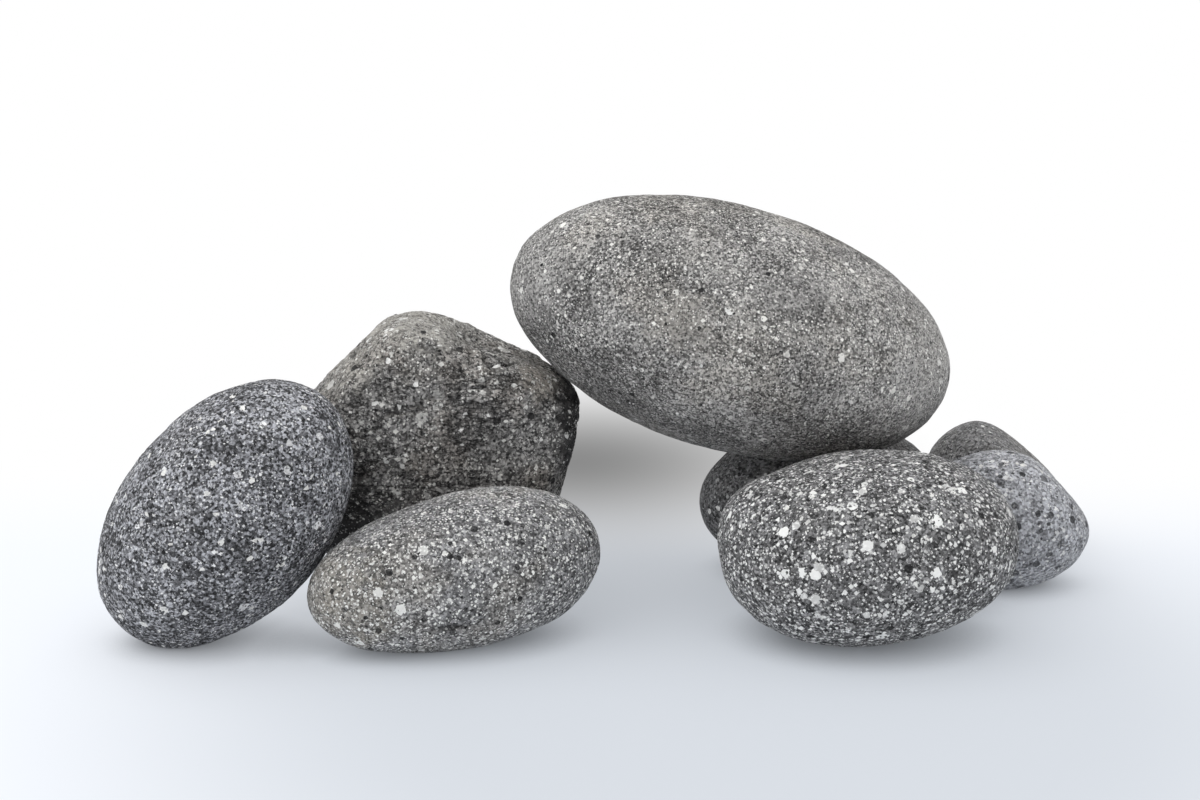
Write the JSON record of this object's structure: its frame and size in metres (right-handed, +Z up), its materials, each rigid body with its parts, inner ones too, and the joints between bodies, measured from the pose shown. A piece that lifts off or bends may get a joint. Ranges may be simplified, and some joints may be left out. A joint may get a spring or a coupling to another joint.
{
  "type": "basalt massage stone set",
  "caption": "Loose rounded and broken basalt massage stones resting in one low group, the largest egg-shaped stone lying across the others; each stone lifts away by itself.",
  "frame": {"origin": "middle of the group's bounding box, on the surface that the stones stand on", "axes": "+X along the group towards the small stones, -Y to its front, +Z up"},
  "size_m": [0.2532, 0.1314, 0.1044],
  "materials": {
    "rough_stone": "matt, porous, with pale mineral flecks",
    "top_stone": "matt, porous, with pale mineral flecks",
    "left_stone": "matt, porous, with pale mineral flecks",
    "front_left_stone": "matt, porous, with pale mineral flecks",
    "front_right_stone": "matt, porous, with pale mineral flecks",
    "right_stone": "matt, porous, with pale mineral flecks",
    "far_right_stone": "matt, porous, with pale mineral flecks",
    "back_stone": "matt, porous, with pale mineral flecks"
  },
  "bodies": {
    "rough_stone": {"rough_stone": "rough_stone"},
    "top_stone": {"top_stone": "top_stone"},
    "left_stone": {"left_stone": "left_stone"},
    "front_left_stone": {"front_left_stone": "front_left_stone"},
    "front_right_stone": {"front_right_stone": "front_right_stone"},
    "right_stone": {"right_stone": "right_stone"},
    "far_right_stone": {"far_right_stone": "far_right_stone"},
    "back_stone": {"back_stone": "back_stone"}
  },
  "joints": [
    {"name": "lift_top", "type": "slide", "parent": "rough_stone", "child": "top_stone", "axis": [0, 0, 1], "range_m": [0, 0.1]},
    {"name": "lift_left", "type": "slide", "parent": "rough_stone", "child": "left_stone", "axis": [-0.9542, -0.2863, 0.0872], "range_m": [0, 0.1]},
    {"name": "lift_front_left", "type": "slide", "parent": "rough_stone", "child": "front_left_stone", "axis": [0.1954, -0.9768, 0.0872], "range_m": [0, 0.1]},
    {"name": "lift_front_right", "type": "slide", "parent": "rough_stone", "child": "front_right_stone", "axis": [0.3291, -0.9403, 0.0872], "range_m": [0, 0.1]},
    {"name": "lift_right", "type": "slide", "parent": "rough_stone", "child": "right_stone", "axis": [0.9852, -0.1478, 0.0872], "range_m": [0, 0.1]},
    {"name": "lift_far_right", "type": "slide", "parent": "rough_stone", "child": "far_right_stone", "axis": [0.4455, 0.891, 0.0872], "range_m": [0, 0.1]},
    {"name": "lift_back", "type": "slide", "parent": "rough_stone", "child": "back_stone", "axis": [-0.5125, 0.8542, 0.0872], "range_m": [0, 0.1]}
  ]
}
